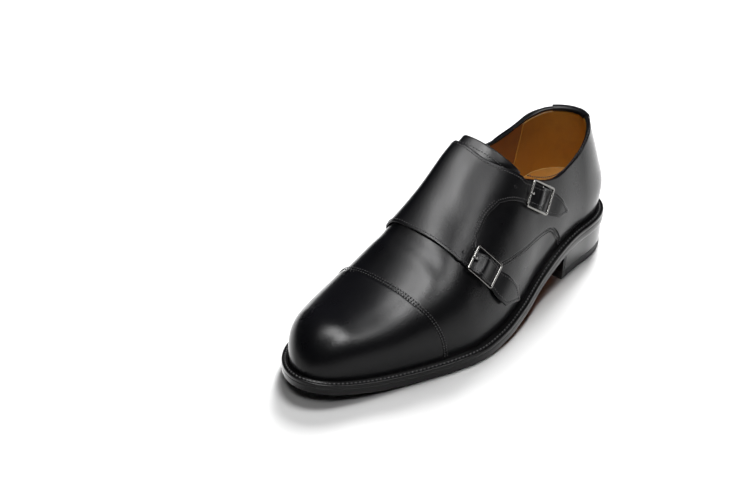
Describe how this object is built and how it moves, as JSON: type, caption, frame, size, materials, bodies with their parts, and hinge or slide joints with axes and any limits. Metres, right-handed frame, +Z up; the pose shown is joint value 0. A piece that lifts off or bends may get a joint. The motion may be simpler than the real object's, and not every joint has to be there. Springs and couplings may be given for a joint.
{
  "type": "monk strap shoe",
  "caption": "Left dress shoe with a straight toe cap and two buckled straps crossing the instep, on a welted sole with a low stacked heel.",
  "frame": {"origin": "on the floor under the middle of the shoe's bounding box", "axes": "+Z up, -Y towards the toe, +X towards the outer side of the foot"},
  "size_m": [0.1084, 0.302, 0.1219],
  "materials": {
    "calf": "polished black box calf",
    "sole": "black dressed edge, tan underside",
    "rubber": "matt black top piece",
    "sock": "natural tan lining leather, satin",
    "steel": "polished nickel"
  },
  "bodies": {
    "root": {"outsole": "sole", "welt": "sole", "heel_stack": "sole", "heel_top_piece": "rubber", "insole": "sock", "upper": "calf", "toe_cap": "calf", "tongue": "calf", "strap_panel": "calf", "buckle_upper": "steel", "prong_upper": "steel", "buckle_lower": "steel", "prong_lower": "steel"}
  },
  "joints": []
}
